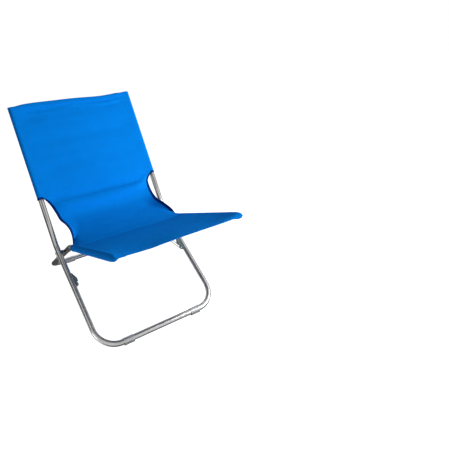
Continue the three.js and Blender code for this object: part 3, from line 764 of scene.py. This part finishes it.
def wrinkle(x, row):
    """How far the cloth stands off its smooth shape, at a distance from its middle line."""
    down = row["place"]
    from_edge = row["edge"].x - abs(x)
    free = ease((from_edge - 8 * mm) / (50 * mm))
    looser_left = 1 + 0.5 * ease((60 * mm - x) / (250 * mm))
    on_the_back = 1 - ease((down - back_waves_end) / (60 * mm))
    # Heights are in millimetres. Broad waves cross the back, and small ones the whole cloth.
    height = 4.2 * on_the_back * looser_left * waves(x, down, 0.36, 0.046, 3.1)
    height += 0.9 * waves(x, down, 0.12, 0.024, 7.7)
    # Below the top hem the cloth gathers. The hem itself stands proud, and its top edge rolls over.
    height += 3.0 * looser_left * hump(down, gathers, 26 * mm) * waves(x, down, 0.16, 0.014, 1.9)
    hem_step = 1 - ease((down - hem_width + 1 * mm) / (3.4 * mm))
    height += 4.2 * hem_step - 1.6 * hump(down, hem_width + 5 * mm, 4 * mm)
    height -= 4.0 * hump(down, 0, 4 * mm)
    # The lap billows, and the seat has long shallow waves.
    height += 6.0 * hump(down, billow, 100 * mm) * waves(x, down, 0.32, 0.060, 5.3)
    height += 3.0 * ease((down - seat_waves) / (120 * mm)) * waves(x, down, 0.20, 0.11, 8.2)
    # A crease runs across above the lap, with a ridge below it that fades out towards the left.
    crease = crease_middle - 10 * mm * ease((-x - 50 * mm) / (150 * mm))
    crease += 8 * mm * waves(x, down, 0.2, 1.0, 6.6)
    ridge = crease + ridge_below_crease - 16 * mm * ease((x - 40 * mm) / (170 * mm))
    height -= 4 * hump(down, crease, 16 * mm)
    height += 6 * hump(down, ridge, 16 * mm) * (0.3 + 0.7 * ease((x + 200 * mm) / (150 * mm)))
    # The front hem's seam is drawn in, and the cloth puckers beside the seams of the sleeves.
    height -= 1.0 * hump(down, cloth_length - hem_width - 1 * mm, 3 * mm)
    pucker = hump(from_edge, 26 * mm, 12 * mm) * (row["sleeve"] is not None)
    return (height * free + 0.5 * pucker * waves(x, down, 0.05, 0.015, 9.4)) * mm


def front(row, x):
    """A point on the cloth between the tubes, at a distance from its middle line."""
    half, distance = row["edge"].x, abs(x)
    level = Vector((0, row["edge"].y, row["edge"].z))
    share = max(0.0, (distance - half + row["reach"]) / row["reach"]) ** 2
    point = row["middle"].lerp(level, share) + (wrinkle(x, row) - row["below"]) * row["normal"]
    # The top edge hangs lower on the right, where the cloth is slack, and is pulled up a little on the left.
    slack = 9 * hump(x, 130 * mm, 95 * mm) - 3 * hump(x, -165 * mm, 70 * mm)
    slack *= ease((half - distance) / (40 * mm)) * (1 - ease(row["place"] / (160 * mm)))
    point -= slack * mm * back_post
    point.x = x
    return point


def cloth_point(row, sign, kind, value):
    """Where a column of the cloth lies in a row. Its kind tells what its value is.

    An inner value is a share of the way to the seam, and an edge value a distance from the tube's middle.
    A wrap value is an angle round the tube, under is a share of the way back to the seam, and a flap
    value is a distance past the seam.
    """
    half, sleeve = row["edge"].x, row["sleeve"]
    if kind == "inner":
        return front(row, sign * (half - seam_from_tube) * value)
    if kind == "edge" or sleeve is None:
        return front(row, sign * (half - (value if kind == "edge" else 0)))
    axis, way = sleeve["axis"], sleeve["way"]
    if kind == "wrap":
        point = axis + sleeve["above"] * math.sin(value) * way
        point.x = sign * (half + sleeve["across"] * math.cos(value))
        return point
    if kind == "under":
        leaves_tube = cloth_point(row, sign, "wrap", wrap_end)
        return leaves_tube.lerp(cloth_point(row, sign, "flap", 0), value)
    return front(row, sign * (half - seam_from_tube - value)) - layer_gap * way


# Columns run from the middle of the cloth to its edge, then round the tube and back to the seam.
inner_columns = 30
wrap_start, wrap_end, wrap_columns, under_columns = math.radians(90), math.radians(-134), 18, 4
edge_distances = [d * mm for d in (24, 19, 15, 12, 9, 5.5, 2.5, 0)]
half_columns = (
    [("inner", i / inner_columns) for i in range(1, inner_columns)]
    + [("edge", d) for d in edge_distances]
    + [("wrap", wrap_start + (wrap_end - wrap_start) * i / wrap_columns) for i in range(1, wrap_columns + 1)]
    + [("under", i / under_columns) for i in range(1, under_columns + 1)] + [("flap", 5 * mm)])
columns = [(-1, *c) for c in reversed(half_columns)] + [(1, "inner", 0.0)] + [(1, *c) for c in half_columns]
folded = {"wrap", "under", "flap"}

cloth = bmesh.new()
bmesh.ops.create_grid(cloth, x_segments=len(columns) - 1, y_segments=len(rows) - 1, size=1)
cloth.verts.ensure_lookup_table()
place_of = {}
for j, row in enumerate(rows):
    for i, column in enumerate(columns):
        vert = cloth.verts[j * len(columns) + i]
        vert.co = cloth_point(row, *column)
        place_of[vert] = (i, j)
threads = cloth.loops.layers.uv.new("threads")
column_run = [0.0]
row_for_weave, row_for_facing = top_row + 20, top_row + 30
widest = rows[row_for_weave]
for a, b in zip(columns, columns[1:]):
    column_run.append(column_run[-1] + (cloth_point(widest, *b) - cloth_point(widest, *a)).length)
for face in cloth.faces:
    for loop in face.loops:
        i, j = place_of[loop.vert]
        loop[threads].uv = (column_run[i] - column_run[-1] / 2, rows[j]["run"])


def span(face):
    """The first and the last row of a face, and its columns."""
    at_columns, at_rows = zip(*(place_of[vert] for vert in face.verts))
    return min(at_rows), max(at_rows), [columns[i] for i in sorted(set(at_columns))]


def is_cut_away(face):
    """True beside the lap, which has no sleeves, and beside the hems, whose ends are cut short."""
    upper, lower, sides = span(face)
    in_lap = lower > back_end_row and upper < seat_start_row
    at_hem = lower <= top_row or upper >= front_row
    beside = any(kind in folded for _, kind, _ in sides)
    past_seam = any(kind != "inner" for _, kind, _ in sides)
    return (in_lap and beside) or (at_hem and past_seam)


def is_bound(face):
    """True where tape covers the cloth: along the cut-outs and round the sleeves' lower ends."""
    upper, lower, sides = span(face)
    past_tape = [kind == "inner" or (kind == "edge" and value > tape_width + 0.01 * mm)
                 for _, kind, value in sides]
    if back_end_row <= upper and lower <= seat_start_row:
        return not any(past_tape) and all(kind == "edge" for _, kind, _ in sides)
    at_end = back_end_row - 2 <= upper < back_end_row or seat_start_row <= upper < seat_start_row + 2
    return at_end and not any(past_tape)


bmesh.ops.delete(cloth, geom=[f for f in cloth.faces if is_cut_away(f)], context="FACES")
cloth.normal_update()
# The cloth's front is the side towards the sitter.
facing = Vector()
for face in cloth.faces:
    upper, lower, sides = span(face)
    if upper == row_for_facing and sides[0][1] == "inner":
        facing += face.normal
if facing.dot(to_sitter) < 0:
    bmesh.ops.reverse_faces(cloth, faces=cloth.faces)
cloth.faces.index_update()
bound = {face.index for face in cloth.faces if is_bound(face)}
tape_shape = cloth.copy()

blue_cloth, cloth_tree, cloth_shader = plain_material(
    "blue_cloth", (0.0, 0.23, 0.80), 0.9, Specular_IOR_Level=0.04, Sheen_Weight=0.06, Sheen_Roughness=0.5,
    Sheen_Tint=(0.0, 0.45, 1.0, 1))


def weave(tree, shader, hollow_shade_and_top, threads_per_metre, depth):
    """Plain weave: threads go over and under each other, read from the cloth's own flat coordinates, with
    painted shade in the hollows between them.
    """
    uv = tree.nodes.new("ShaderNodeUVMap")
    uv.uv_map = "threads"
    parts = tree.nodes.new("ShaderNodeSeparateXYZ")
    link_nodes(tree, ((uv, "UV"), (parts, "Vector")))
    heights = []
    for axis in ("X", "Y"):
        turn = tree.nodes.new("ShaderNodeMath")
        turn.operation = "MULTIPLY"
        turn.inputs[1].default_value = math.pi * threads_per_metre
        wave = tree.nodes.new("ShaderNodeMath")
        wave.operation = "SINE"
        round_top = tree.nodes.new("ShaderNodeMath")
        round_top.operation = "ABSOLUTE"
        link_nodes(tree, ((parts, axis), (turn, 0)), ((turn, 0), (wave, 0)), ((wave, 0), (round_top, 0)))
        heights.append((round_top, 0))
    over = tree.nodes.new("ShaderNodeTexChecker")
    over.inputs["Scale"].default_value = threads_per_metre
    top = tree.nodes.new("ShaderNodeMix")
    link_nodes(tree, ((uv, "UV"), (over, "Vector")), ((over, "Fac"), (top, "Factor")),
               (heights[0], (top, "A")), (heights[1], (top, "B")))
    # The colour runs from a darker shade in the hollows between the threads to the full colour on their tops:
    # painted shade.
    ramp = tree.nodes.new("ShaderNodeValToRGB")
    for element, place, shade in zip(ramp.color_ramp.elements, (0.0, 0.55), hollow_shade_and_top):
        element.position = place
        element.color = (*shade, 1)
    faded = tree.nodes.new("ShaderNodeMix")
    faded.data_type = "RGBA"
    faded.blend_type = "MULTIPLY"
    faded.inputs["Factor"].default_value = 1.0
    link_nodes(tree, ((top, "Result"), (ramp, "Fac")), ((ramp, "Color"), (faded, "A")),
               ((faded, "Result"), (shader, "Base Color")))
    vary(tree, patches(tree, 45 * mm, detail=4), (0.94, 0.95, 0.96), (1.0, 1.0, 1.0), faded, "B")
    grain(tree, (top, "Result"), depth, shader)


# The darker colour is painted shade in the weave's hollows, and the lighter one is the thread's own blue.
weave(cloth_tree, cloth_shader, hollow_shade_and_top=((0.0, 0.12, 0.45), (0.0, 0.235, 0.83)),
      threads_per_metre=1500, depth=0.16 * mm)


def thicken(piece, thickness):
    """Gives a sheet its thickness, half to each side."""
    body = piece.modifiers.new("thickness", "SOLIDIFY")
    body.thickness = thickness
    body.offset = 0


sling = smooth_piece("sling_cloth", cloth, blue_cloth, flat_above=180)
thicken(sling, cloth_thickness)


# ---------------------------------------------------------------- binding
# Navy woven tape is folded over the cut edges and sewn through: along both cut-outs, and round the
# lower ends of the four sleeves.

tape_overhang, folded_tape_thickness = 0.45 * mm, 2.6 * mm

navy_tape, tape_tree, tape_shader = plain_material(
    "navy_tape", (0.0, 0.022, 0.16), 0.85, Specular_IOR_Level=0.05)
# The darker colour is painted shade in the weave's hollows, and the lighter one is the tape's own navy.
weave(tape_tree, tape_shader, hollow_shade_and_top=((0.0, 0.010, 0.08), (0.0, 0.026, 0.19)),
      threads_per_metre=1100, depth=0.22 * mm)

untaped = [face for i, face in enumerate(tape_shape.faces[:]) if i not in bound]
bmesh.ops.delete(tape_shape, geom=untaped, context="FACES")
for edge in [e for e in tape_shape.edges if e.is_boundary]:
    face = edge.link_faces[0]
    away = ((edge.verts[0].co + edge.verts[1].co) / 2 - face.calc_center_median()).normalized()
    for vert in edge.verts:
        vert.co += tape_overhang * away
binding = smooth_piece("sling_binding_sewn", tape_shape, navy_tape, flat_above=60)
thicken(binding, folded_tape_thickness)
round_edges(binding, 0.6 * mm, segments=2, above=60)


# ---------------------------------------------------------------- stitches
# The sleeves, the two hems and the tape are lock-stitched with blue polyester thread. A stitch is about
# 3 mm long, and on sleeves and hems it shows on the sitter's side of the cloth.

thread_blue, thread_tree, thread_shader = plain_material(
    "thread_blue", (0.0, 0.14, 0.55), 0.6, Specular_IOR_Level=0.2)
vary(thread_tree, patches(thread_tree, 3 * mm), (0.0, 0.12, 0.48), (0.0, 0.17, 0.62), thread_shader,
     "Base Color")

stitch_length, stitch_pitch, thread_radius = 2.6 * mm, 3.6 * mm, 0.35 * mm
seam_inside_fold, seam_inside_tape, seam_inside_hem = 1.5 * mm, 1.2 * mm, 2 * mm
stitches = bmesh.new()
round_stitch = bmesh.new()
bmesh.ops.create_uvsphere(round_stitch, u_segments=6, v_segments=4, radius=1)
one_stitch = bpy.data.meshes.new("one_stitch")


def sew(points, normals):
    """Sets stitches along a line of points, on the side that the normals point to."""
    walked = 0.0
    for a, b, upward in zip(points, points[1:], normals):
        length = (b - a).length
        while walked < length:
            way = (b - a) / length
            place = a + way * walked + upward * (cloth_thickness / 2 + 0.5 * thread_radius)
            round_stitch.to_mesh(one_stitch)
            one_stitch.transform(standing_at(place, way)
                                 @ Matrix.Diagonal((thread_radius, thread_radius, stitch_length / 2, 1)))
            stitches.from_mesh(one_stitch)
            walked += stitch_pitch
        walked -= length


def sew_down(side, first, last, inset):
    """A seam along the cloth, at a distance in from its edge."""
    sewn_rows = rows[first:last + 1]
    line = [front(row, side * (row["edge"].x - inset)) for row in sewn_rows]
    sew(line, [row["normal"] for row in sewn_rows])


def sew_across(row, half):
    """A seam across the cloth."""
    line = [front(row, half * i / 60) for i in range(-60, 61)]
    sew(line, [row["normal"]] * len(line))


def row_at(place):
    """The number of the row nearest to a distance down the cloth."""
    return min(range(top_row, front_row + 1), key=lambda j: abs(rows[j]["place"] - place))


for side in (-1, 1):
    sew_down(side, top_row + 2, back_end_row, seam_from_tube - seam_inside_fold)
    sew_down(side, back_end_row, seat_start_row, tape_width - seam_inside_tape)
    sew_down(side, seat_start_row, front_row - 2, seam_from_tube - seam_inside_fold)
sew_across(rows[row_at(hem_width - seam_inside_hem)], main_half_width - seam_from_tube)
sew_across(rows[row_at(cloth_length - hem_width + seam_inside_hem)], seat_half_width - seam_from_tube)
round_stitch.free()
bpy.data.meshes.remove(one_stitch)
seams = smooth_piece("sling_stitches_sewn", stitches, thread_blue)


# ---------------------------------------------------------------- the cloth's place
# The cloth, the tape and the stitches have their places baked into their shapes, and the packed cloth
# pieces are hidden.

for piece in (sling, binding, seams):
    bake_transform(piece)
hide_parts("sling_back", "sling_seat", "sling_lap")
